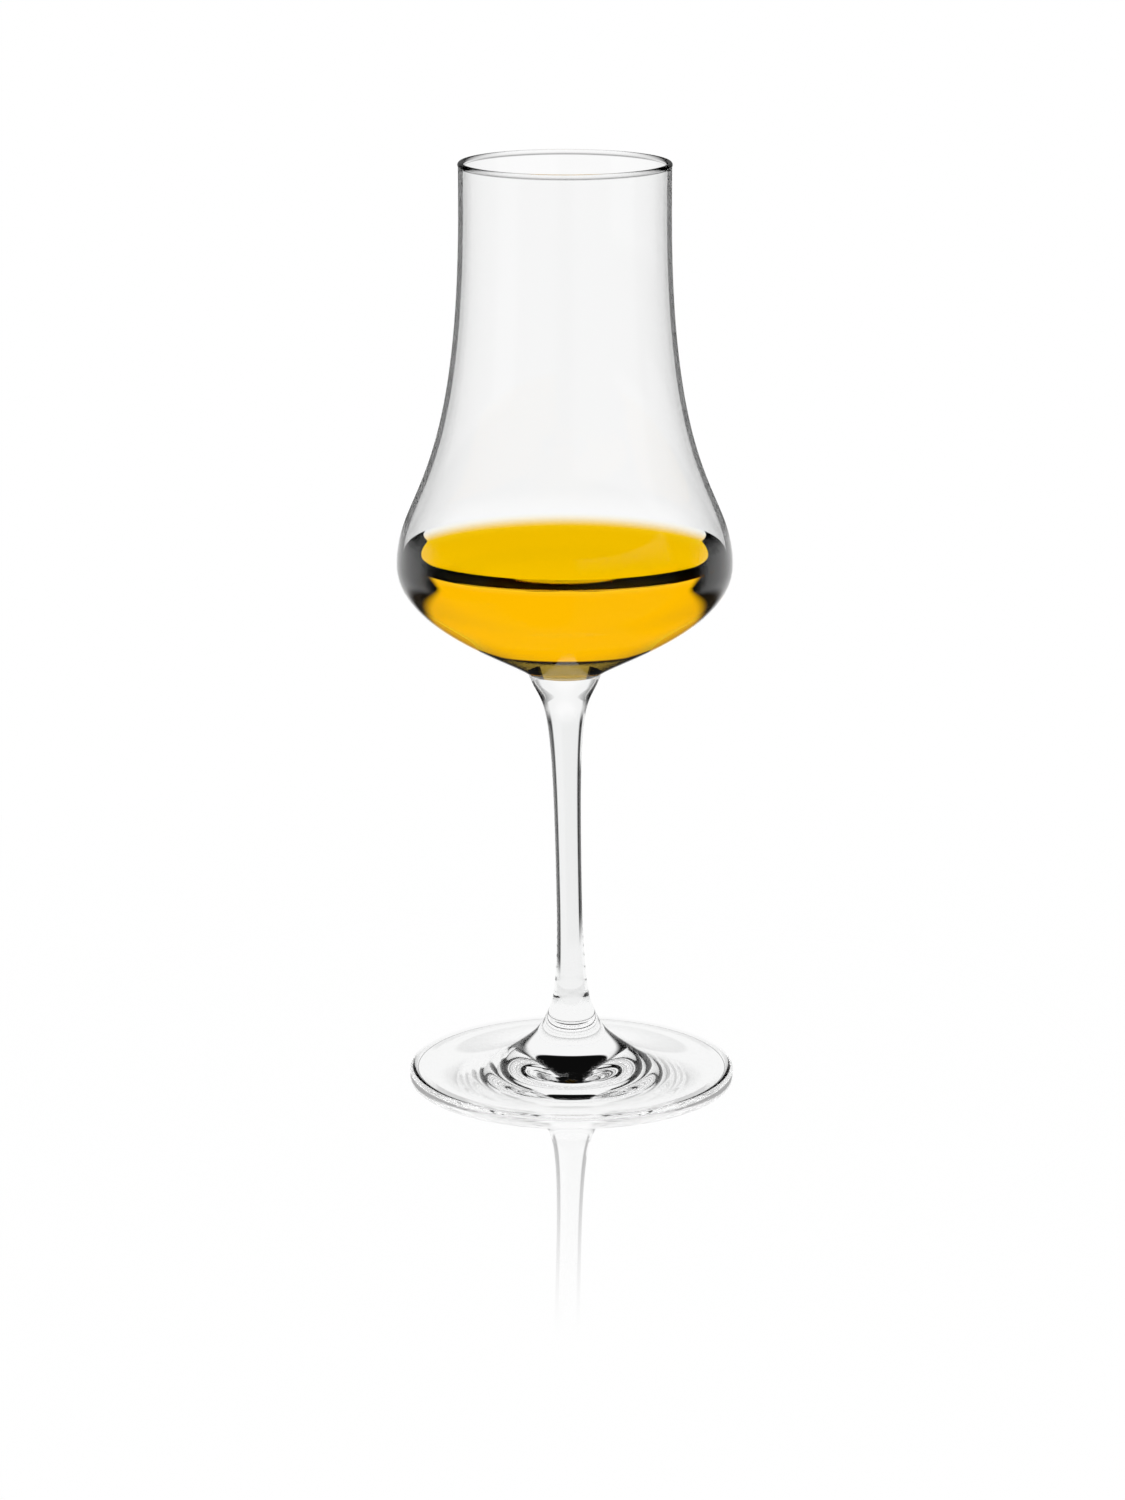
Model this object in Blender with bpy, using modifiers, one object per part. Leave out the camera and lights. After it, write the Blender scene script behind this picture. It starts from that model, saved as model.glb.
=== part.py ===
"""A stemmed spirits glass with its pour: bowl, stem, foot and spirit.

Metres, +Z up. The origin is the centre of the ring that the foot stands on, and the glass rises along +Z.
Every piece is turned about +Z, so each one is a profile of (radius, height) points and a full turn.
"""

from math import acos, cos, pi, radians, sin

import bpy
from mathutils import Vector
from mathutils.geometry import interpolate_bezier

# Heights, stacked from the table up
FOOT_HEIGHT = 0.0143  # table to the weld between foot and stem
STEM_LENGTH = 0.0731  # weld to weld
BOWL_BASE_DEPTH = 0.0232  # weld to the widest part of the bowl
SHOULDER_LENGTH = 0.0751  # widest part to the straight chimney
CHIMNEY_LENGTH = 0.0083  # straight wall up to the rim
STEM_WAIST_RISE = 0.0249  # thinnest part of the stem above the foot's weld

# Outside diameters
RIM_DIAMETER = 0.0435
BELLY_DIAMETER = 0.0698
BOWL_WELD_DIAMETER = 0.0155
STEM_WAIST_DIAMETER = 0.0054
FOOT_WELD_DIAMETER = 0.0093
FOOT_FLARE_DIAMETER = 0.0537  # where the cone of the foot runs out into its flat disc
FOOT_DIAMETER = 0.0689

# Thicknesses of the glass
RIM_WALL = 0.00095
RIM_BEAD_OVERHANG = 0.00012  # how far the bead stands out on each side of the wall
BELLY_WALL = 0.0012
BOWL_BASE_THICKNESS = 0.0040
FOOT_FLARE_THICKNESS = 0.00198
FOOT_EDGE_THICKNESS = 0.00145  # where the disc starts to round over its edge

# Edge of the foot: rounded over from above and, more broadly, from below
EDGE_TOP_ROUNDING = 0.0009  # inwards from the edge
EDGE_UNDER_ROUNDING = 0.0018  # inwards from the edge
EDGE_WIDEST_HEIGHT = 0.00072

# Underside of the foot: a flat ring to stand on, round a shallow hollow
RESTING_RING_WIDTH = 0.0017
UNDERSIDE_HOLLOW = 0.0009

# The pour
POUR_DEPTH = 0.0194
POUR_CLEARANCE = 0.0003

# Slopes where the curves meet the welds
BOWL_BASE_SLOPE = radians(36)  # from level
STEM_TOP_SLOPE = radians(20.5)  # from upright
STEM_FOOT_SLOPE = radians(21)  # from upright
FOOT_FLARE_SLOPE = radians(7.3)  # from level
FOOT_DISC_SLOPE = radians(2.8)  # from level

# How far each curve keeps its end's direction, as a share of its own span
SHOULDER_PULL_TOP = 0.795
SHOULDER_PULL_BELLY = 0.204
BASE_PULL_BELLY = 0.52
BASE_PULL_WELD = 0.237
INSIDE_PULL_BELLY = 0.55
INSIDE_PULL_BOTTOM = 0.42
STEM_PULL_TOP = 0.192
STEM_PULL_WAIST = 0.97
STEM_PULL_WAIST_LOW = 0.838
STEM_PULL_FOOT = 0.064
FOOT_PULL_WELD = 0.56
FOOT_PULL_FLARE = 0.738
DISC_PULL = 0.4
EDGE_PULL_TOP = 0.65
EDGE_PULL_SIDE = 0.65
EDGE_PULL_UNDER_SIDE = 0.5
EDGE_PULL_RING = 0.3
HOLLOW_PULL_RING = 0.562
HOLLOW_PULL_CENTRE = 0.116

# Facets
TURN_STEPS = 48
SHOULDER_POINTS = 14
BASE_POINTS = 12
STEM_POINTS = 12
FOOT_POINTS = 10
DISC_POINTS = 5
EDGE_TOP_POINTS = 6
EDGE_UNDER_POINTS = 4
HOLLOW_POINTS = 6
BEAD_POINTS = 9
MERGE_DISTANCE = 0.00001

# Places that several pieces share
foot_weld_height = FOOT_HEIGHT
bowl_weld_height = foot_weld_height + STEM_LENGTH
belly_height = bowl_weld_height + BOWL_BASE_DEPTH
chimney_height = belly_height + SHOULDER_LENGTH
rim_height = chimney_height + CHIMNEY_LENGTH
waist_height = foot_weld_height + STEM_WAIST_RISE
inside_bottom_height = bowl_weld_height + BOWL_BASE_THICKNESS


def curve(start, start_handle, end_handle, end, count):
    """Points of a Bezier curve, with both ends."""
    points = interpolate_bezier(Vector(start), Vector(start_handle), Vector(end_handle), Vector(end), count)
    return [(point.x, point.y) for point in points]


def arc(centre, radius, start_angle, end_angle, count):
    """Points of a circular arc in the (radius, height) plane, with both ends."""
    step = (end_angle - start_angle) / (count - 1)
    angles = [start_angle + step * i for i in range(count)]
    return [(centre[0] + radius * cos(a), centre[1] + radius * sin(a)) for a in angles]


def clear_glass(name):
    """Colourless crystal, polished by fire."""
    material = bpy.data.materials.new(name)
    material.use_nodes = True
    surface = material.node_tree.nodes["Principled BSDF"]
    surface.inputs["Base Color"].default_value = (0.97, 0.98, 0.98, 1.0)
    surface.inputs["Roughness"].default_value = 0.02
    surface.inputs["Metallic"].default_value = 0.0
    surface.inputs["IOR"].default_value = 1.52
    surface.inputs["Transmission Weight"].default_value = 1.0
    return material


def amber_spirit(name):
    """Clear golden liquid."""
    material = bpy.data.materials.new(name)
    material.use_nodes = True
    surface = material.node_tree.nodes["Principled BSDF"]
    surface.inputs["Base Color"].default_value = (0.99, 0.52, 0.003, 1.0)
    surface.inputs["Roughness"].default_value = 0.0
    surface.inputs["Metallic"].default_value = 0.0
    surface.inputs["IOR"].default_value = 1.36
    surface.inputs["Transmission Weight"].default_value = 1.0
    return material


def turned(name, profile, material, collection):
    """One turned piece. Its profile runs down the outer side, from the axis or inside to the axis."""
    mesh = bpy.data.meshes.new(name)
    edges = [(i, i + 1) for i in range(len(profile) - 1)]
    mesh.from_pydata([(radius, 0.0, height) for radius, height in profile], edges, [])
    mesh.materials.append(material)
    piece = bpy.data.objects.new(name, mesh)
    collection.objects.link(piece)
    turn = piece.modifiers.new("turn", "SCREW")
    turn.axis = "Z"
    turn.angle = 2 * pi
    turn.steps = TURN_STEPS
    turn.render_steps = TURN_STEPS
    turn.use_merge_vertices = True
    turn.merge_threshold = MERGE_DISTANCE
    turn.use_smooth_shade = True
    return piece


def bowl_inside(clearance=0.0):
    """The inner wall of the bowl from its bottom up to the chimney, drawn in by a clearance."""
    belly_radius = BELLY_DIAMETER / 2 - BELLY_WALL - clearance
    neck_radius = RIM_DIAMETER / 2 - RIM_WALL - clearance
    bottom = inside_bottom_height + clearance
    depth = belly_height - bottom
    base = curve(
        (0.0, bottom),
        (INSIDE_PULL_BOTTOM * belly_radius, bottom),
        (belly_radius, belly_height - INSIDE_PULL_BELLY * depth),
        (belly_radius, belly_height),
        BASE_POINTS,
    )
    shoulder = curve(
        (belly_radius, belly_height),
        (belly_radius, belly_height + SHOULDER_PULL_BELLY * SHOULDER_LENGTH),
        (neck_radius, chimney_height - SHOULDER_PULL_TOP * SHOULDER_LENGTH),
        (neck_radius, chimney_height),
        SHOULDER_POINTS,
    )
    return base + shoulder[1:]


def bowl_outside():
    """The outer wall of the bowl from the chimney down to the edge of the weld."""
    neck_radius = RIM_DIAMETER / 2
    belly_radius = BELLY_DIAMETER / 2
    weld_radius = BOWL_WELD_DIAMETER / 2
    weld_pull = BASE_PULL_WELD * (belly_radius - weld_radius)
    shoulder = curve(
        (neck_radius, chimney_height),
        (neck_radius, chimney_height - SHOULDER_PULL_TOP * SHOULDER_LENGTH),
        (belly_radius, belly_height + SHOULDER_PULL_BELLY * SHOULDER_LENGTH),
        (belly_radius, belly_height),
        SHOULDER_POINTS,
    )
    base = curve(
        (belly_radius, belly_height),
        (belly_radius, belly_height - BASE_PULL_BELLY * BOWL_BASE_DEPTH),
        (
            weld_radius + weld_pull * cos(BOWL_BASE_SLOPE),
            bowl_weld_height + weld_pull * sin(BOWL_BASE_SLOPE),
        ),
        (weld_radius, bowl_weld_height),
        BASE_POINTS,
    )
    return shoulder + base[1:]


def rim_lip():
    """The fire-polished bead on the rim, over the middle of the wall, from its inner to its outer side."""
    bead_radius = RIM_WALL / 2 + RIM_BEAD_OVERHANG
    centre = (RIM_DIAMETER / 2 - RIM_WALL / 2, rim_height - bead_radius)
    dip = acos(RIM_WALL / 2 / bead_radius)
    return arc(centre, bead_radius, pi + dip, -dip, BEAD_POINTS)


def bowl_profile():
    """Up the inside, over the rim, down the outside and across the weld."""
    return bowl_inside() + rim_lip() + bowl_outside() + [(0.0, bowl_weld_height)]


def stem_profile():
    """From the bowl's weld down the waisted rod to the foot's weld."""
    top_radius = BOWL_WELD_DIAMETER / 2
    waist_radius = STEM_WAIST_DIAMETER / 2
    foot_radius = FOOT_WELD_DIAMETER / 2
    upper_length = bowl_weld_height - waist_height
    top_pull = STEM_PULL_TOP * upper_length
    foot_pull = STEM_PULL_FOOT * STEM_WAIST_RISE
    upper = curve(
        (top_radius, bowl_weld_height),
        (
            top_radius - top_pull * sin(STEM_TOP_SLOPE),
            bowl_weld_height - top_pull * cos(STEM_TOP_SLOPE),
        ),
        (waist_radius, waist_height + STEM_PULL_WAIST * upper_length),
        (waist_radius, waist_height),
        STEM_POINTS,
    )
    lower = curve(
        (waist_radius, waist_height),
        (waist_radius, waist_height - STEM_PULL_WAIST_LOW * STEM_WAIST_RISE),
        (
            foot_radius - foot_pull * sin(STEM_FOOT_SLOPE),
            foot_weld_height + foot_pull * cos(STEM_FOOT_SLOPE),
        ),
        (foot_radius, foot_weld_height),
        STEM_POINTS,
    )
    return [(0.0, bowl_weld_height)] + upper + lower[1:] + [(0.0, foot_weld_height)]


def foot_profile():
    """From the stem's weld down the cone, over the disc, round its edge and under to the hollow."""
    weld_radius = FOOT_WELD_DIAMETER / 2
    flare_radius = FOOT_FLARE_DIAMETER / 2
    edge_radius = FOOT_DIAMETER / 2
    disc_radius = edge_radius - EDGE_TOP_ROUNDING
    stand_radius = edge_radius - EDGE_UNDER_ROUNDING
    ring_radius = stand_radius - RESTING_RING_WIDTH
    weld_pull = FOOT_PULL_WELD * (FOOT_HEIGHT - FOOT_FLARE_THICKNESS)
    flare_pull = FOOT_PULL_FLARE * (flare_radius - weld_radius)
    disc_pull = DISC_PULL * (disc_radius - flare_radius)
    top_pull = EDGE_PULL_TOP * EDGE_TOP_ROUNDING
    side_pull = EDGE_PULL_SIDE * (FOOT_EDGE_THICKNESS - EDGE_WIDEST_HEIGHT)
    cone = curve(
        (weld_radius, foot_weld_height),
        (
            weld_radius + weld_pull * sin(STEM_FOOT_SLOPE),
            foot_weld_height - weld_pull * cos(STEM_FOOT_SLOPE),
        ),
        (
            flare_radius - flare_pull * cos(FOOT_FLARE_SLOPE),
            FOOT_FLARE_THICKNESS + flare_pull * sin(FOOT_FLARE_SLOPE),
        ),
        (flare_radius, FOOT_FLARE_THICKNESS),
        FOOT_POINTS,
    )
    disc = curve(
        (flare_radius, FOOT_FLARE_THICKNESS),
        (
            flare_radius + disc_pull * cos(FOOT_FLARE_SLOPE),
            FOOT_FLARE_THICKNESS - disc_pull * sin(FOOT_FLARE_SLOPE),
        ),
        (
            disc_radius - disc_pull * cos(FOOT_DISC_SLOPE),
            FOOT_EDGE_THICKNESS + disc_pull * sin(FOOT_DISC_SLOPE),
        ),
        (disc_radius, FOOT_EDGE_THICKNESS),
        DISC_POINTS,
    )
    edge_top = curve(
        (disc_radius, FOOT_EDGE_THICKNESS),
        (
            disc_radius + top_pull * cos(FOOT_DISC_SLOPE),
            FOOT_EDGE_THICKNESS - top_pull * sin(FOOT_DISC_SLOPE),
        ),
        (edge_radius, EDGE_WIDEST_HEIGHT + side_pull),
        (edge_radius, EDGE_WIDEST_HEIGHT),
        EDGE_TOP_POINTS,
    )
    edge_under = curve(
        (edge_radius, EDGE_WIDEST_HEIGHT),
        (edge_radius, EDGE_WIDEST_HEIGHT - EDGE_PULL_UNDER_SIDE * EDGE_WIDEST_HEIGHT),
        (stand_radius + EDGE_PULL_RING * EDGE_UNDER_ROUNDING, 0.0),
        (stand_radius, 0.0),
        EDGE_UNDER_POINTS,
    )
    hollow = curve(
        (ring_radius, 0.0),
        (HOLLOW_PULL_RING * ring_radius, UNDERSIDE_HOLLOW),
        (HOLLOW_PULL_CENTRE * ring_radius, UNDERSIDE_HOLLOW),
        (0.0, UNDERSIDE_HOLLOW),
        HOLLOW_POINTS,
    )
    return [(0.0, foot_weld_height)] + cone + disc[1:] + edge_top[1:] + edge_under[1:] + hollow


def spirit_profile():
    """Across the level surface of the pour and down the bowl's inner wall, clear of the glass."""
    surface_height = inside_bottom_height + POUR_DEPTH
    wall = bowl_inside(POUR_CLEARANCE)
    wet = [point for point in wall if point[1] < surface_height]
    below = Vector(wet[-1])
    above = Vector(wall[len(wet)])
    brim = below.lerp(above, (surface_height - below.y) / (above.y - below.y))
    return [(0.0, surface_height), (brim.x, surface_height)] + wet[::-1]


for leftover in list(bpy.data.objects):
    bpy.data.objects.remove(leftover)

glass = bpy.data.collections.new("spirits_glass")
bpy.context.scene.collection.children.link(glass)

turned("foot", foot_profile(), clear_glass("foot glass"), glass)
turned("stem", stem_profile(), clear_glass("stem glass"), glass)
turned("bowl", bowl_profile(), clear_glass("bowl glass"), glass)
turned("spirit", spirit_profile(), amber_spirit("amber spirit"), glass)
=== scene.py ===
from math import acos, cos, exp, pi, radians, sin

import bmesh
import bpy
from mathutils import Matrix, Vector
from mathutils.geometry import interpolate_bezier


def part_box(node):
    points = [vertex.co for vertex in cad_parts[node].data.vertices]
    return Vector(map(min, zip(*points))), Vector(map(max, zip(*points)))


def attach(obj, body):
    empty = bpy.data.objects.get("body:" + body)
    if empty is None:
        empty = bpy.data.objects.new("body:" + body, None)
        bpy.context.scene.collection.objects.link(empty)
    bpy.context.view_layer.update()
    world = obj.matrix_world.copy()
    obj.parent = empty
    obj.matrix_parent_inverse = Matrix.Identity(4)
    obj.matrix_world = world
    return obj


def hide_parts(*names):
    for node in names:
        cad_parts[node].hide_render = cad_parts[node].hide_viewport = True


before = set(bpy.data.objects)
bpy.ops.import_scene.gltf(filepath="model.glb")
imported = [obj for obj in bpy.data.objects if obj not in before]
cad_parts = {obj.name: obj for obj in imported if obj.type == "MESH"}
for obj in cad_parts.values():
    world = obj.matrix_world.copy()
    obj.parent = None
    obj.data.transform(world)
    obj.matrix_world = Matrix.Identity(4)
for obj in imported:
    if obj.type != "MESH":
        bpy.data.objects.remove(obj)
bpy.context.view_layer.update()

# Foot: a disc of clear crystal, pressed from a gather of its own and spun flat while hot, with a low
# cone in its middle. It is fused to the stem, and a fire-polished edge and a shallow hollow finish it.
_, foot_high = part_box("foot")
FOOT_RADIUS = foot_high.x
FOOT_WELD_HEIGHT = foot_high.z
FOOT_WELD_RADIUS = 0.00465
FOOT_FLARE_RADIUS = 0.02685
FOOT_FLARE_HEIGHT = 0.00198
FOOT_EDGE_THICKNESS = 0.00145
EDGE_TOP_ROUNDING = 0.0009
EDGE_UNDER_ROUNDING = 0.0018
EDGE_WIDEST_HEIGHT = 0.00072
RESTING_RING_WIDTH = 0.0017
UNDERSIDE_HOLLOW = 0.0009
FOOT_WELD_SLOPE = radians(21)  # from upright
FOOT_FLARE_SLOPE = radians(7.3)  # from level
FOOT_DISC_SLOPE = radians(2.8)  # from level
FOOT_OFFSET = 0.00150  # the hand-pulled stem leans, so the foot stands this far to one side
CONE_PULL = 0.56  # a pull is how far a curve runs straight on from its end, as a share of its stretch
FLARE_PULL = 0.738
DISC_PULL = 0.4
EDGE_TOP_PULL = 0.65
EDGE_SIDE_PULL = 0.5
EDGE_RING_PULL = 0.3
HOLLOW_RING_PULL = 0.438
HOLLOW_MIDDLE_PULL = 0.116
CURVE_POINTS = 56
EDGE_POINTS = 24
RING_POINTS = 8


def curve(start, start_pull, end_pull, end, count=CURVE_POINTS):
    """Points of a Bezier curve in the (radius, height) plane, with both ends, each with its pull."""
    start, end = Vector(start), Vector(end)
    points = interpolate_bezier(start, start + Vector(start_pull), end + Vector(end_pull), end, count)
    return [(point.x, point.y) for point in points]


def fall(length, slope):
    """A pull outwards and down, at a slope from level."""
    return Vector((length * cos(slope), -length * sin(slope)))


disc_radius = FOOT_RADIUS - EDGE_TOP_ROUNDING
stand_radius = FOOT_RADIUS - EDGE_UNDER_ROUNDING
ring_radius = stand_radius - RESTING_RING_WIDTH
cone_height = FOOT_WELD_HEIGHT - FOOT_FLARE_HEIGHT
cone_width = FOOT_FLARE_RADIUS - FOOT_WELD_RADIUS
disc_width = disc_radius - FOOT_FLARE_RADIUS
edge_depth = FOOT_EDGE_THICKNESS - EDGE_WIDEST_HEIGHT
foot_cone = curve(
    (FOOT_WELD_RADIUS, FOOT_WELD_HEIGHT),
    fall(CONE_PULL * cone_height, pi / 2 - FOOT_WELD_SLOPE),
    -fall(FLARE_PULL * cone_width, FOOT_FLARE_SLOPE),
    (FOOT_FLARE_RADIUS, FOOT_FLARE_HEIGHT),
)
foot_disc = curve(
    (FOOT_FLARE_RADIUS, FOOT_FLARE_HEIGHT),
    fall(DISC_PULL * disc_width, FOOT_FLARE_SLOPE),
    -fall(DISC_PULL * disc_width, FOOT_DISC_SLOPE),
    (disc_radius, FOOT_EDGE_THICKNESS),
)
edge_top = curve(
    (disc_radius, FOOT_EDGE_THICKNESS),
    fall(EDGE_TOP_PULL * EDGE_TOP_ROUNDING, FOOT_DISC_SLOPE),
    (0.0, EDGE_TOP_PULL * edge_depth),
    (FOOT_RADIUS, EDGE_WIDEST_HEIGHT),
    EDGE_POINTS,
)
edge_under = curve(
    (FOOT_RADIUS, EDGE_WIDEST_HEIGHT),
    (0.0, -EDGE_SIDE_PULL * EDGE_WIDEST_HEIGHT),
    (EDGE_RING_PULL * EDGE_UNDER_ROUNDING, 0.0),
    (stand_radius, 0.0),
    EDGE_POINTS,
)
ring_step = RESTING_RING_WIDTH / RING_POINTS
resting_ring = [(stand_radius - ring_step * i, 0.0) for i in range(1, RING_POINTS)]
foot_hollow = curve(
    (ring_radius, 0.0),
    (-HOLLOW_RING_PULL * ring_radius, UNDERSIDE_HOLLOW),
    (HOLLOW_MIDDLE_PULL * ring_radius, 0.0),
    (0.0, UNDERSIDE_HOLLOW),
)
foot_edge = edge_top[1:] + edge_under[1:]
foot_outside = foot_cone + foot_disc[1:] + foot_edge + resting_ring + foot_hollow

CRYSTAL_INDEX = 1.52
WHITE = (1.0, 1.0, 1.0, 1.0)
BLACK = (0.0, 0.0, 0.0, 1.0)
COOL_CAST = (0.015, 0.005, 0.008)  # what the film on the glass takes from red, green and blue
FILM_SCALE = 45.0
FILM_DETAIL = 3.0
FILM_ROUGHNESS = 0.002
WAVE_SCALE = 90.0
WAVE_DETAIL = 1.0
WAVE_DEPTH = 0.000004
FOOT_SHINE = 0.6
GLANCE = (0.6, 0.85)  # how far a face turns away, from 0 to 1, where its shine starts and is full
FOOT_WITHIN_TURN = (0.12, 0.22)
EDGE_CLEAR = 0.92
EDGE_CLEAR_REACH = (stand_radius + 0.0010, stand_radius + 0.0013)
EDGE_CLEAR_TURN = (0.3, 0.6)
WORN_GREY = (0.06, 0.06, 0.06, 1.0)
WORN_CORE = 0.000036
WORN_WIDTH = 0.00012
WORN_HEIGHT = (0.0001, 0.0003)


class Socket:
    """An output of a node tree. Operators on it add Math nodes, and node() adds any other node."""

    def __init__(self, tree, socket=None):
        self.tree = tree
        self.socket = socket

    def node(self, kind, settings=None, inputs=None, output=0):
        """One output of a new node: its settings are made first, then its inputs' values or links."""
        made = self.tree.nodes.new(kind)
        for name, value in (settings or {}).items():
            setattr(made, name, value)
        for name, value in (inputs or {}).items():
            if isinstance(value, Socket):
                value.into(made, name)
            else:
                made.inputs[name].default_value = value
        return Socket(self.tree, made.outputs[output])

    def into(self, node, name):
        """A link from here to an input of a node."""
        self.tree.links.new(self.socket, node.inputs[name])

    def other(self, output):
        """Another output of the same node."""
        return Socket(self.tree, self.socket.node.outputs[output])

    def math(self, operation, *values):
        """A Math node on these values."""
        return self.node("ShaderNodeMath", {"operation": operation}, dict(enumerate(values)))

    def ramp(self, start, end):
        """From 0 at start to 1 at end, smooth at both."""
        inputs = {"Value": self, "From Min": start, "From Max": end}
        return self.node("ShaderNodeMapRange", {"interpolation_type": "SMOOTHSTEP"}, inputs)

    def mix(self, factor, first, second):
        """A colour between two."""
        inputs = {"Factor": factor, "A": first, "B": second}
        return self.node("ShaderNodeMix", {"data_type": "RGBA"}, inputs, output="Result")

    def blend(self, factor, first, second):
        """A shader between two."""
        return self.node("ShaderNodeMixShader", {}, {0: factor, 1: first, 2: second})

    def __add__(self, other):
        return self.math("ADD", self, other)

    __radd__ = __add__

    def __sub__(self, other):
        return self.math("SUBTRACT", self, other)

    def __rsub__(self, other):
        return self.math("SUBTRACT", other, self)

    def __mul__(self, other):
        return self.math("MULTIPLY", self, other)

    __rmul__ = __mul__


def new_finish(name):
    """A material, its Principled shader and output, and the start of its node expressions."""
    finish = bpy.data.materials.new(name)
    finish.use_nodes = True
    nodes = finish.node_tree.nodes
    return finish, nodes["Principled BSDF"], nodes["Material Output"], Socket(finish.node_tree)


def crystal(name, stretch, clarity, shine, wear=None, painted_light=None):
    """Clear crystal: faint waves from working it hot, drawn out along the axis by a stretch.

    Its clarity is the share of light that two faces let through. Its shine takes a spot and how far the
    face turns away, and gives the shares of the reflection that show from outside and from within, of a
    painted dark reflection, a black that stands in for the unlit room the face would mirror, and of the
    light that goes straight on. Its wear takes a spot and gives the share of grey there. A painted light
    is the colour painted on the light that goes straight in from outside.
    """
    finish, surface, output, start = new_finish(name)
    surface.inputs["Transmission Weight"].default_value = 1.0
    surface.inputs["IOR"].default_value = CRYSTAL_INDEX
    place = start.node("ShaderNodeTexCoord", output="Object")
    spot = start.node("ShaderNodeSeparateXYZ", {}, {0: place})
    drawn = start.node("ShaderNodeMapping", {}, {"Vector": place, "Scale": (1, 1, 1 / stretch)})
    waves = {"Vector": drawn, "Scale": WAVE_SCALE, "Detail": WAVE_DETAIL}
    wave = start.node("ShaderNodeTexNoise", {}, waves)
    bump = start.node("ShaderNodeBump", {}, {"Height": wave, "Strength": 1.0, "Distance": WAVE_DEPTH})
    films = {"Vector": place, "Scale": FILM_SCALE, "Detail": FILM_DETAIL}
    film = start.node("ShaderNodeTexNoise", {}, films)
    cool = [clarity - cast for cast in COOL_CAST]
    tint = start.mix(film, (clarity, clarity, clarity, 1.0), (*cool, 1.0))
    if wear:
        tint = start.mix(wear(spot), tint, WORN_GREY)
    tint.into(surface, "Base Color")
    (film * FILM_ROUGHNESS).into(surface, "Roughness")
    bump.into(surface, "Normal")
    glass = Socket(start.tree, surface.outputs["BSDF"])
    face = clarity**0.5
    bent = {"Color": (face, face, face, 1.0), "Roughness": 0.0, "IOR": CRYSTAL_INDEX, "Normal": bump}
    bend = start.node("ShaderNodeBsdfRefraction", {}, bent)
    inside = start.node("ShaderNodeNewGeometry", output="Backfacing")
    facing = start.node("ShaderNodeLayerWeight", output="Facing")
    shares = shine(spot, facing)
    reflecting = shares["outside"] * (1 - inside) + shares["within"] * inside
    look = start.blend(reflecting, bend, glass)
    # Painted dark reflection: a black refraction, weighted by the face's Fresnel share, stands in for
    # the unlit room.
    if "painted_dark" in shares:
        mirrored = start.node("ShaderNodeFresnel", {}, {"IOR": CRYSTAL_INDEX, "Normal": bump})
        unlit = start.node("ShaderNodeBsdfRefraction", {}, bent | {"Color": BLACK})
        look = start.blend(shares["painted_dark"] * mirrored, look, unlit)
    clean = start.node("ShaderNodeBsdfTransparent")
    # Painted light: the light that goes straight in from outside takes a painted colour.
    if painted_light:
        painted_light_pass = start.node("ShaderNodeBsdfTransparent", {}, {"Color": painted_light})
        clean = start.blend(inside, painted_light_pass, clean)
    start.blend(shares["straight"], look, clean).into(output, "Surface")
    return finish


def fused(name):
    """Where two pieces of glass are fused, or glass is wet: light goes straight on."""
    finish, surface, output, start = new_finish(name)
    start.tree.nodes.remove(surface)
    start.node("ShaderNodeBsdfTransparent").into(output, "Surface")
    return finish


def axis_distance(spot, offset=0.0):
    """Distance of a spot, given by its X output, from an upright axis that stands off to one side."""
    aside = spot - offset
    ahead = spot.other("Y")
    return spot.math("SQRT", aside * aside + ahead * ahead)


def foot_wear(spot):
    """The fine line where the foot stands."""
    off_line = spot.math("ABSOLUTE", axis_distance(spot, FOOT_OFFSET) - stand_radius)
    line = 1 - off_line.ramp(WORN_CORE, WORN_WIDTH)
    return line * (1 - spot.other("Z").ramp(*WORN_HEIGHT))


def foot_shine(spot, facing):
    """The top reflects at a glancing view, the inside past a square view, and the edge is clear."""
    edge = axis_distance(spot, FOOT_OFFSET).ramp(*EDGE_CLEAR_REACH)
    return {
        "outside": FOOT_SHINE * facing.ramp(*GLANCE),
        "within": facing.ramp(*FOOT_WITHIN_TURN),
        "straight": EDGE_CLEAR * edge * (1 - facing.ramp(*EDGE_CLEAR_TURN)),
    }


foot_crystal = crystal("foot crystal", stretch=1.0, clarity=0.93, shine=foot_shine, wear=foot_wear)
weld = fused("fused weld")

WEDGES = 12
WEDGE_STEPS = 16
CREASE = radians(25)
MERGE_DISTANCE = 1e-7


def turned(name, bands, lean=Matrix.Identity(4)):
    """A closed piece turned about +Z from bands, each a (radius, height) profile and a finish."""
    form = bmesh.new()
    axis = {"axis": (0, 0, 1), "cent": (0, 0, 0)}
    for index, (profile, _) in enumerate(bands):
        outline = [form.verts.new((radius, 0.0, height)) for radius, height in profile]
        edges = [form.edges.new(pair) for pair in zip(outline, outline[1:])]
        made = len(form.faces)
        bmesh.ops.spin(form, geom=outline + edges, angle=2 * pi / WEDGES, steps=WEDGE_STEPS, **axis)
        form.faces.ensure_lookup_table()
        for face in form.faces[made:]:
            face.material_index = index
            face.smooth = True
    wedge = form.verts[:] + form.edges[:] + form.faces[:]
    turn = 2 * pi * (WEDGES - 1) / WEDGES
    bmesh.ops.spin(form, geom=wedge, angle=turn, steps=WEDGES - 1, use_duplicate=True, **axis)
    bmesh.ops.remove_doubles(form, verts=form.verts, dist=MERGE_DISTANCE)
    bmesh.ops.recalc_face_normals(form, faces=form.faces)
    bmesh.ops.transform(form, matrix=lean, verts=form.verts)
    mesh = bpy.data.meshes.new(name)
    form.to_mesh(mesh)
    form.free()
    mesh.set_sharp_from_angle(angle=CREASE)
    for _, finish in bands:
        mesh.materials.append(finish)
    piece = bpy.data.objects.new(name, mesh)
    bpy.context.scene.collection.objects.link(piece)
    return piece


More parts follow.
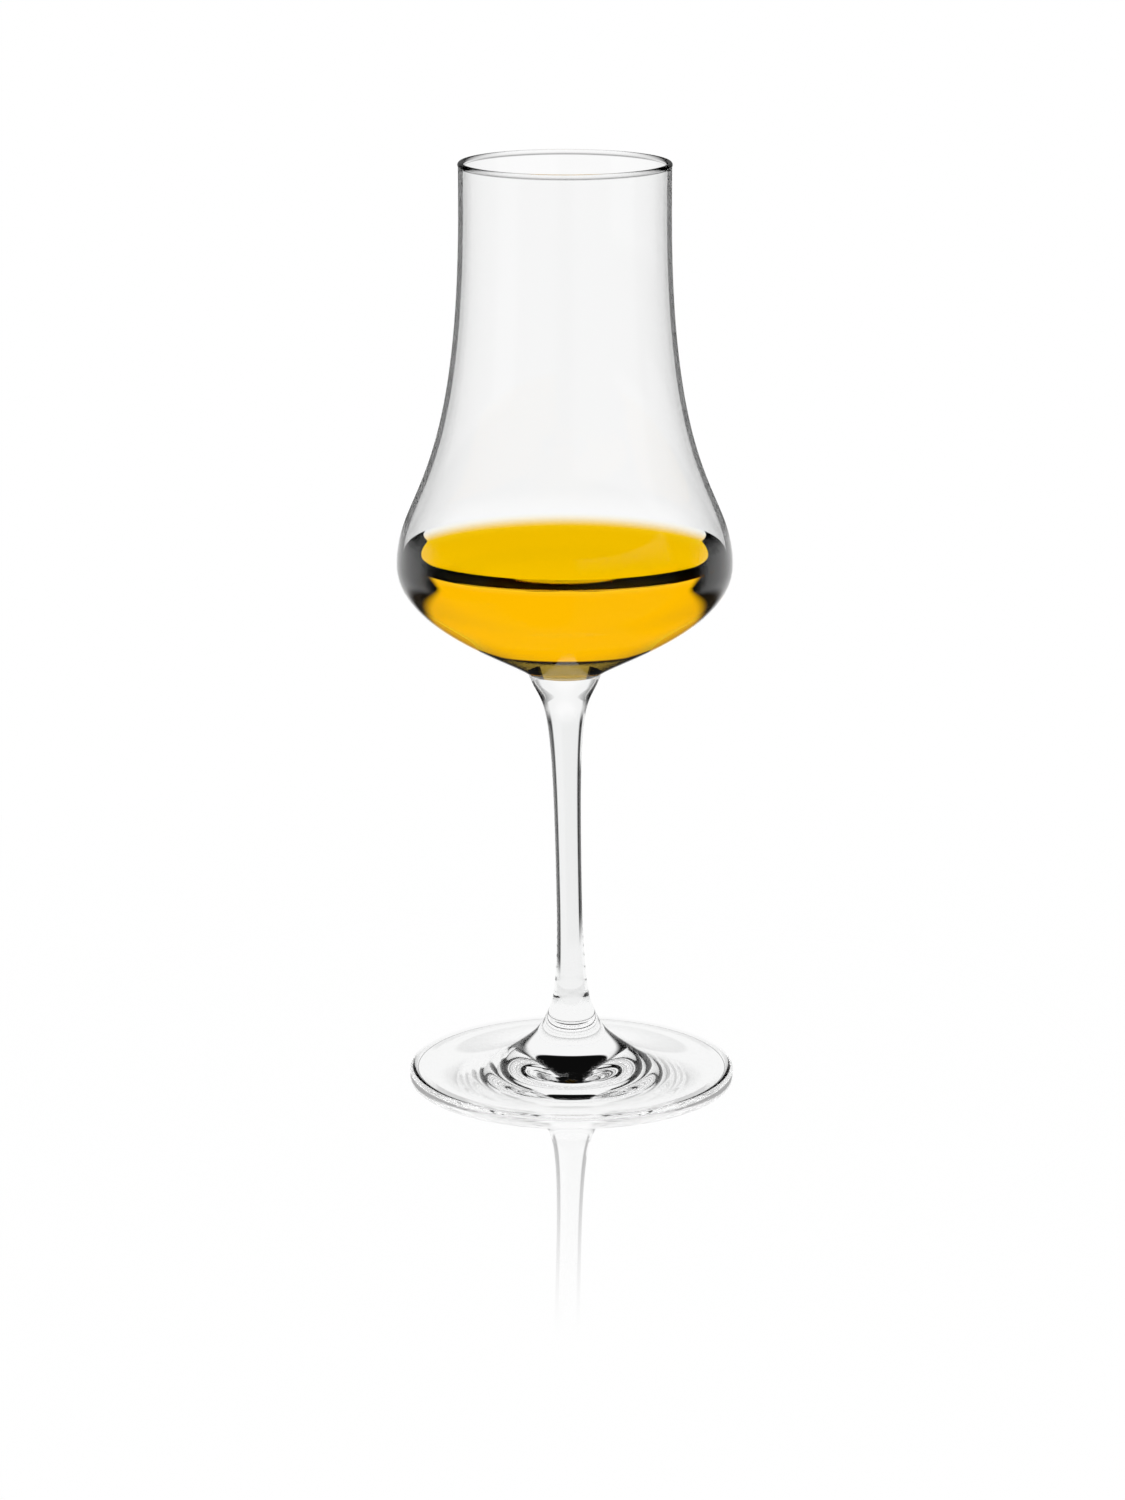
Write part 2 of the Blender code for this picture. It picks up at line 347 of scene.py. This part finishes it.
foot = turned(
    "crystal_foot",
    [
        (foot_outside, foot_crystal),
        ([(0.0, FOOT_WELD_HEIGHT), foot_cone[0]], weld),
    ],
    lean=Matrix.Translation((FOOT_OFFSET, 0, 0)),
)
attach(foot, "glass")
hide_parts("foot")

# Stem: a solid rod of the same crystal, pulled thin while soft, so that it is thinnest below its middle
# and flares at both ends. The flares are fused hot to the bowl and to the foot, with no cement.
_, stem_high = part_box("stem")
BOWL_WELD_HEIGHT = stem_high.z
BOWL_WELD_RADIUS = stem_high.x
STEM_WAIST_HEIGHT = 0.0392
STEM_WAIST_RADIUS = 0.0027
STEM_TOP_SLOPE = radians(20.5)  # from upright
STEM_TOP_PULL = 0.192
WAIST_UPPER_PULL = 0.97
WAIST_LOWER_PULL = 0.838
STEM_FOOT_PULL = 0.064
upper_stem = BOWL_WELD_HEIGHT - STEM_WAIST_HEIGHT
lower_stem = STEM_WAIST_HEIGHT - FOOT_WELD_HEIGHT
stem_flare = curve(
    (BOWL_WELD_RADIUS, BOWL_WELD_HEIGHT),
    fall(STEM_TOP_PULL * upper_stem, pi / 2 + STEM_TOP_SLOPE),
    (0.0, WAIST_UPPER_PULL * upper_stem),
    (STEM_WAIST_RADIUS, STEM_WAIST_HEIGHT),
)
stem_shank = curve(
    (STEM_WAIST_RADIUS, STEM_WAIST_HEIGHT),
    (0.0, -WAIST_LOWER_PULL * lower_stem),
    -fall(STEM_FOOT_PULL * lower_stem, pi / 2 - FOOT_WELD_SLOPE),
    (FOOT_WELD_RADIUS, FOOT_WELD_HEIGHT),
)
lean_rate = FOOT_OFFSET / (BOWL_WELD_HEIGHT - FOOT_WELD_HEIGHT)
stem_lean = Matrix.Translation((lean_rate * BOWL_WELD_HEIGHT, 0, 0))
stem_lean[0][2] = -lean_rate

FLARE_START = (BOWL_WELD_HEIGHT - 0.011, BOWL_WELD_HEIGHT - 0.007)
FLARE_CLEAR = 0.85
FLARE_CLEAR_TURN = (0.13, 0.31)


def stem_shine(spot, facing):
    """The outside reflects fully, and the inside up to the flare, which is clear unless seen steeply."""
    flare = spot.other("Z").ramp(*FLARE_START)
    straight = FLARE_CLEAR * flare * (1 - facing.ramp(*FLARE_CLEAR_TURN))
    return {"outside": 1.0, "within": 1 - flare, "straight": straight}


stem_crystal = crystal("stem crystal", stretch=8.0, clarity=0.93, shine=stem_shine)
stem = turned(
    "crystal_stem",
    [
        (stem_flare + stem_shank[1:], stem_crystal),
        ([(0.0, BOWL_WELD_HEIGHT), stem_flare[0]], weld),
        ([(0.0, FOOT_WELD_HEIGHT), stem_shank[-1]], weld),
    ],
    lean=stem_lean,
)
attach(stem, "glass")
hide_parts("stem")

# Bowl: blown from one gather into a turning mould, a broad belly under a tall chimney, with a wall
# of about a millimetre, a thick solid base and a rim cut and melted round in a flame.
_, bowl_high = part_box("bowl")
_, spirit_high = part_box("spirit")
RIM_HEIGHT = bowl_high.z
BELLY_RADIUS = bowl_high.x
BELLY_HEIGHT = 0.1106
CHIMNEY_HEIGHT = 0.1857
RIM_RADIUS = 0.02175
RIM_WALL = 0.00095
RIM_BEAD_OVERHANG = 0.00012
BELLY_WALL = 0.0012
BASE_THICKNESS = 0.0036
BASE_SLOPE = radians(36)  # from level
CHIMNEY_PULL = 0.795
BELLY_UPPER_PULL = 0.204
BELLY_LOWER_PULL = 0.52
BASE_PULL = 0.237
BOTTOM_INSIDE_PULL = 0.42
BELLY_INSIDE_PULL = 0.55
POUR_LEVEL = spirit_high.z
MENISCUS_RISE = 0.0036
BEAD_POINTS = 24
CHIMNEY_POINTS = 12
inside_bottom = BOWL_WELD_HEIGHT + BASE_THICKNESS
shoulder = CHIMNEY_HEIGHT - BELLY_HEIGHT
base_depth = BELLY_HEIGHT - BOWL_WELD_HEIGHT
base_width = BELLY_RADIUS - BOWL_WELD_RADIUS
outer_shoulder = curve(
    (RIM_RADIUS, CHIMNEY_HEIGHT),
    (0.0, -CHIMNEY_PULL * shoulder),
    (0.0, BELLY_UPPER_PULL * shoulder),
    (BELLY_RADIUS, BELLY_HEIGHT),
)
outer_base = curve(
    (BELLY_RADIUS, BELLY_HEIGHT),
    (0.0, -BELLY_LOWER_PULL * base_depth),
    fall(BASE_PULL * base_width, -BASE_SLOPE),
    (BOWL_WELD_RADIUS, BOWL_WELD_HEIGHT),
)


def arc(centre, radius, start_angle, end_angle, count):
    """Points of a circular arc in the (radius, height) plane, with both ends."""
    step = (end_angle - start_angle) / (count - 1)
    angles = [start_angle + step * i for i in range(count)]
    return [(centre[0] + radius * cos(angle), centre[1] + radius * sin(angle)) for angle in angles]


bead_radius = RIM_WALL / 2 + RIM_BEAD_OVERHANG
bead_centre = (RIM_RADIUS - RIM_WALL / 2, RIM_HEIGHT - bead_radius)
bead_dip = acos(RIM_WALL / 2 / bead_radius)
rim_bead = arc(bead_centre, bead_radius, pi + bead_dip, -bead_dip, BEAD_POINTS)
chimney_step = (rim_bead[0][1] - CHIMNEY_HEIGHT) / CHIMNEY_POINTS
chimney_heights = [CHIMNEY_HEIGHT + chimney_step * i for i in range(1, CHIMNEY_POINTS)]
chimney_inside = [(RIM_RADIUS - RIM_WALL, height) for height in chimney_heights]
chimney_outside = [(RIM_RADIUS, height) for height in reversed(chimney_heights)]


def inner_wall(gap=0.0):
    """The bowl's inside from the middle of its bottom to the chimney, drawn in by a gap."""
    belly = BELLY_RADIUS - BELLY_WALL - gap
    neck = RIM_RADIUS - RIM_WALL - gap
    bottom = inside_bottom + gap
    base = curve(
        (0.0, bottom),
        (BOTTOM_INSIDE_PULL * belly, 0.0),
        (0.0, -BELLY_INSIDE_PULL * (BELLY_HEIGHT - bottom)),
        (belly, BELLY_HEIGHT),
    )
    side = curve(
        (belly, BELLY_HEIGHT),
        (0.0, BELLY_UPPER_PULL * shoulder),
        (0.0, -CHIMNEY_PULL * shoulder),
        (neck, CHIMNEY_HEIGHT),
    )
    return base + side[1:]


def cut_at(profile, height):
    """A rising profile in two: up to a height, and from there on."""
    count = sum(1 for point in profile if point[1] < height)
    below = Vector(profile[count - 1])
    above = Vector(profile[count])
    edge = below.lerp(above, (height - below.y) / (above.y - below.y))
    return profile[:count] + [tuple(edge)], [tuple(edge)] + profile[count:]


wet_wall, dry_wall = cut_at(inner_wall(), POUR_LEVEL + MENISCUS_RISE)
bowl_rim = chimney_inside + rim_bead + chimney_outside
bowl_outside = outer_shoulder + outer_base[1:]

# Each pair of heights is where a stretch of the bowl sets in or ends, from its first trace to the last.
WALL_START = (BELLY_HEIGHT + 0.004, BELLY_HEIGHT + 0.010)
BELLY_START = (BELLY_HEIGHT - 0.009, BELLY_HEIGHT - 0.005)
BASE_END = (BELLY_HEIGHT - 0.0141, BELLY_HEIGHT - 0.0101)
COLLAR_END = (inside_bottom + 0.0018, inside_bottom + 0.0032)
PAINTED_DARK_RIM_LINE_START = (RIM_HEIGHT - 0.0012, RIM_HEIGHT - 0.0010)
PAINTED_DARK_RIM_LINE_END = (RIM_HEIGHT - 0.0008, RIM_HEIGHT - 0.0006)
BELLY_SHINE_TURN = (0.3, 0.5)
WALL_DULLNESS = 0.8
BASE_WITHIN = 0.5
WALL_WITHIN = 0.4
WALL_PAINTED_DARK = 0.35  # painted dark reflection at the wall's sides, counted in what the face mirrors
# the painted dark line below the rim, strongest where the face is seen square on
RIM_PAINTED_DARK = 6.0
RIM_PAINTED_DARK_TURN = (0.2, 0.7)
COLLAR_CLEAR = 0.75
COLLAR_CLEAR_TURN = (0.75, 0.9)
COLLAR_PAINTED_LIGHT = (0.45, 0.31, 0.05, 1.0)  # painted light: the spirit's colour painted on the light straight through the thick base


def bowl_shine(spot, facing):
    """The belly reflects all round and the rest at a glancing view. The wall above has a painted dark
    reflection at its sides and a painted dark line below the rim, and the collar on the stem lets light
    straight on."""
    height = spot.other("Z")
    wall = height.ramp(*WALL_START)
    belly = height.ramp(*BELLY_START) * (1 - wall)
    base = 1 - height.ramp(*BASE_END)
    collar = 1 - height.ramp(*COLLAR_END)
    # The painted dark line below the rim; with the wall's sides it takes the painted dark reflection.
    painted_dark_rim_line = height.ramp(*PAINTED_DARK_RIM_LINE_START) * (1 - height.ramp(*PAINTED_DARK_RIM_LINE_END))
    glance = facing.ramp(*GLANCE) * (1 - WALL_DULLNESS * wall) * (1 - belly)
    return {
        "outside": belly * facing.ramp(*BELLY_SHINE_TURN) + glance,
        "within": BASE_WITHIN * base + WALL_WITHIN * wall,
        "painted_dark": WALL_PAINTED_DARK * wall + RIM_PAINTED_DARK * painted_dark_rim_line * (1 - facing.ramp(*RIM_PAINTED_DARK_TURN)),
        "straight": COLLAR_CLEAR * collar * (1 - facing.ramp(*COLLAR_CLEAR_TURN)),
    }


# The collar's straight light takes a painted light the colour of the spirit, in place of light refracted
# through the pour.
bowl_crystal = crystal("bowl crystal", stretch=3.0, clarity=1.0, shine=bowl_shine, painted_light=COLLAR_PAINTED_LIGHT)
bowl = turned(
    "crystal_bowl",
    [
        (dry_wall + bowl_rim + bowl_outside, bowl_crystal),
        (wet_wall, fused("wetted wall")),
        ([outer_base[-1], (0.0, BOWL_WELD_HEIGHT)], weld),
    ],
)
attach(bowl, "glass")
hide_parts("bowl")

# Spirit: a clear golden spirit of about 45 ml that fills the bowl to its belly. It lies in the bowl
# under its own weight, wets the wall and climbs it in a small meniscus.
SPIRIT_GAP = 0.00002
MENISCUS_REACH = 0.0017
MENISCUS_SPAN = 6 * MENISCUS_REACH  # the surface is level further from the wall
MENISCUS_POINTS = 40
wet_side, _ = cut_at(inner_wall(SPIRIT_GAP), POUR_LEVEL + MENISCUS_RISE)
wall_radius = wet_side[-1][0]


def pour_surface(radius):
    """Height of the pour's surface, level in the middle and climbing to the wall."""
    return POUR_LEVEL + MENISCUS_RISE * exp((radius - wall_radius) / MENISCUS_REACH)


meniscus_step = MENISCUS_SPAN / MENISCUS_POINTS
meniscus_radii = [wall_radius - MENISCUS_SPAN + meniscus_step * i for i in range(MENISCUS_POINTS)]
meniscus = [(radius, pour_surface(radius)) for radius in meniscus_radii]
pour_top = [(0.0, POUR_LEVEL)] + meniscus + [wet_side[-1]]

SPIRIT_INDEX = 1.36
SURFACE_TINT = (0.91, 0.74, 0.003, 1.0)
BODY_TINT = (1.0, 0.52, 0.0005, 1.0)
FILM_TINT = (1.0, 1.0, 0.98, 1.0)
THIN_HEIGHT = (POUR_LEVEL + 0.0001, POUR_LEVEL + 0.0036)
SWIRL_SCALE = 40.0
SWIRL_DETAIL = 1.0
SWIRL_DEPTH = 0.96  # share of green left where the swirl is deepest


def amber(name, tint, index, bare=False):
    """Clear golden spirit behind a surface whose index is its step in refraction, paler up the meniscus.

    From outside, a bare surface bends light without a reflection.
    """
    finish, surface, output, start = new_finish(name)
    surface.inputs["Transmission Weight"].default_value = 1.0
    surface.inputs["IOR"].default_value = index
    surface.inputs["Roughness"].default_value = 0.0
    place = start.node("ShaderNodeTexCoord", output="Object")
    height = start.node("ShaderNodeSeparateXYZ", {}, {0: place}, output="Z")
    thin = height.ramp(*THIN_HEIGHT)
    swirls = {"Vector": place, "Scale": SWIRL_SCALE, "Detail": SWIRL_DETAIL}
    swirl = start.node("ShaderNodeTexNoise", {}, swirls)
    red, green, blue, opacity = tint
    body = start.mix(swirl, tint, (red, green * SWIRL_DEPTH, blue, opacity))
    start.mix(thin, body, FILM_TINT).into(surface, "Base Color")
    if bare:
        bent = {"Roughness": 0.0, "IOR": index}
        full = start.node("ShaderNodeBsdfRefraction", {}, bent | {"Color": tint})
        film = start.node("ShaderNodeBsdfRefraction", {}, bent | {"Color": FILM_TINT})
        inside = start.node("ShaderNodeNewGeometry", output="Backfacing")
        glossy = Socket(start.tree, surface.outputs["BSDF"])
        start.blend(inside, start.blend(thin, full, film), glossy).into(output, "Surface")
    return finish


spirit_surface = amber("spirit surface", SURFACE_TINT, SPIRIT_INDEX, bare=True)
spirit_body = amber("spirit body", BODY_TINT, SPIRIT_INDEX / CRYSTAL_INDEX)
spirit = turned("amber_spirit", [(pour_top, spirit_surface), (wet_side, spirit_body)])
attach(spirit, "pour")
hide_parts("spirit")

# Table: a sheet of polished white acrylic, lit from below under the glass. It mirrors the foot and the
# stem in front of the glass and takes a faint shadow. Past its lit part, the glass shows the studio.
TABLE_RADIUS = 0.25
TABLE_SIDES = 96
TABLE_DROP = 0.00003  # keeps the sheet clear of the ring that the foot stands on
LIT_REACH = (0.043, 0.067)  # distances from the axis where the lit part starts to fade and has ended
LIT_LENGTH = (0.03, 0.06)  # the same for what the glass reflects, along the ray
MIRROR_REACH = (0.034, 0.155)
MIRROR_SHARE = 0.58
SHADOW_SHARE = 0.06
form = bmesh.new()
drop = Matrix.Translation((0, 0, -TABLE_DROP))
bmesh.ops.create_circle(form, cap_ends=True, segments=TABLE_SIDES, radius=TABLE_RADIUS, matrix=drop)
table_mesh = bpy.data.meshes.new("table")
form.to_mesh(table_mesh)
form.free()
table = bpy.data.objects.new("table", table_mesh)
bpy.context.scene.collection.objects.link(table)
acrylic, surface, output, start = new_finish("white acrylic")
start.tree.nodes.remove(surface)
place = start.node("ShaderNodeTexCoord", output="Object")
reach = axis_distance(start.node("ShaderNodeSeparateXYZ", {}, {0: place}))
seen = start.node("ShaderNodeLightPath", output="Is Camera Ray")
far = seen.other("Is Reflection Ray") * seen.other("Ray Length").ramp(*LIT_LENGTH)
unlit = start.math("MAXIMUM", reach.ramp(*LIT_REACH), far)
white = start.node("ShaderNodeEmission", {}, {"Color": WHITE, "Strength": 1.0})
shaded = start.node("ShaderNodeBsdfDiffuse", {}, {"Color": WHITE})
mirror = start.node("ShaderNodeBsdfGlossy", {}, {"Color": WHITE, "Roughness": 0.0})
through = start.node("ShaderNodeBsdfTransparent")
sheet = start.blend(SHADOW_SHARE, white, shaded)
polished = start.blend(MIRROR_SHARE * (1 - reach.ramp(*MIRROR_REACH)), sheet, mirror)
start.blend(seen, start.blend(unlit, white, through), polished).into(output, "Surface")
table_mesh.materials.append(acrylic)

# Studio: white sweeps of paper behind the glass, at one side, low down and in front, between dark flags
# and under a dark ceiling. Through the glass the sweeps give its bright middle and the flags its dark
# outlines. The camera itself sees white all round.
SWEEP_HALF_WIDTH = 33  # angles in this section are in degrees
SWEEP_FADE = 8
SWEEP_TOP = (22.3, 24.3)
BACK_SWEEP = 0  # a sweep is named by where it stands, turned to the right from behind the glass
FRONT_SWEEP = 135
SIDE_SWEEP = -90
SIDE_LOW = (-70, -27)
SIDE_LEVEL = (-11, 6)
SIDE_FADE = 1
LOW_SWEEP = -45
LOW_SWEEP_TOP = (-21, -18)
FLAG_TOP = (5, 22)
FLAG_LEVEL = 0.014
CEILING_LEVEL = 0.004
GLOSS_TURN = (62, 84)  # the gloss is what the glass mirrors: white behind it and over the horizon
GLOSS_HORIZON = (-1, 1)
GLOSS_BAND = (-22, 42)
GLOSS_FADE = 4
GLOSS_LEVEL = 0.03
world = bpy.data.worlds.new("studio")
bpy.context.scene.world = world
world.use_nodes = True
studio = Socket(world.node_tree)
direction = studio.node("ShaderNodeTexCoord", output="Generated")
toward = studio.node("ShaderNodeSeparateXYZ", {}, {0: direction})
turn = studio.math("ARCTAN2", toward, toward.other("Y"))
rise = studio.math("ARCSINE", toward.other("Z"))


def sweep(centre):
    """White where the direction turns to within half a sweep's width of its centre."""
    aside = studio.math("ABSOLUTE", studio.math("WRAP", turn - radians(centre), pi, -pi))
    return 1 - aside.ramp(radians(SWEEP_HALF_WIDTH), radians(SWEEP_HALF_WIDTH + SWEEP_FADE))


def over(low, high):
    """From 0 where the direction rises to the low angle, to 1 at the high one."""
    return rise.ramp(radians(low), radians(high))


def between(low, high, fade):
    """White where the direction rises between two angles, with a fade at both."""
    return over(low - fade, low + fade) * (1 - over(high - fade, high + fade))


sweeps = studio.math("MAXIMUM", sweep(BACK_SWEEP), sweep(FRONT_SWEEP)) * (1 - over(*SWEEP_TOP))
sides = sweep(SIDE_SWEEP) * (between(*SIDE_LOW, SIDE_FADE) + between(*SIDE_LEVEL, SIDE_FADE))
floor_sweep = sweep(LOW_SWEEP) * (1 - over(*LOW_SWEEP_TOP))
paper = studio.math("MAXIMUM", studio.math("MAXIMUM", sweeps, sides), floor_sweep)
dark = CEILING_LEVEL + (FLAG_LEVEL - CEILING_LEVEL) * (1 - over(*FLAG_TOP))
bent = dark + (1 - dark) * paper
behind = 1 - studio.math("ABSOLUTE", turn).ramp(*[radians(angle) for angle in GLOSS_TURN])
open_side = studio.math("MAXIMUM", behind, over(*GLOSS_HORIZON))
gloss = GLOSS_LEVEL + (1 - GLOSS_LEVEL) * open_side * between(*GLOSS_BAND, GLOSS_FADE)
seen = studio.node("ShaderNodeLightPath", output="Is Camera Ray")
plain = studio.math("MAXIMUM", seen, seen.other("Is Diffuse Ray"))
through_glass = bent + (gloss - bent) * seen.other("Is Reflection Ray")
background = world.node_tree.nodes["Background"]
background.inputs["Color"].default_value = WHITE
studio.math("MAXIMUM", plain, through_glass).into(background, "Strength")

# Camera: a long lens a little above the glass, tilted down, with the slight lean of the photograph.
# Light may bounce often enough to cross every wall of the glass and the pour.
CAMERA_DISTANCE = 0.91077
CAMERA_HEIGHT = 0.30504
CAMERA_SIDE = -0.00045
CAMERA_TILT = radians(90 - 14.43)
CAMERA_ROLL = radians(0.03)
LENS_LENGTH = 107.57  # in millimetres, as the sensor's width is
SENSOR_WIDTH = 36
GLASS_BOUNCES = 24
MIRROR_BOUNCES = 16
CLEAR_BOUNCES = 32
camera_data = bpy.data.cameras.new("camera")
camera_data.lens = LENS_LENGTH
camera_data.sensor_width = SENSOR_WIDTH
camera = bpy.data.objects.new("camera", camera_data)
camera.matrix_world = (
    Matrix.Translation((CAMERA_SIDE, -CAMERA_DISTANCE, CAMERA_HEIGHT))
    @ Matrix.Rotation(CAMERA_TILT, 4, "X")
    @ Matrix.Rotation(CAMERA_ROLL, 4, "Z")
)
bpy.context.scene.collection.objects.link(camera)
bpy.context.scene.camera = camera
bpy.context.scene.view_settings.view_transform = "Standard"
bpy.context.scene.cycles.max_bounces = GLASS_BOUNCES
bpy.context.scene.cycles.transmission_bounces = GLASS_BOUNCES
bpy.context.scene.cycles.glossy_bounces = MIRROR_BOUNCES
bpy.context.scene.cycles.transparent_max_bounces = CLEAR_BOUNCES
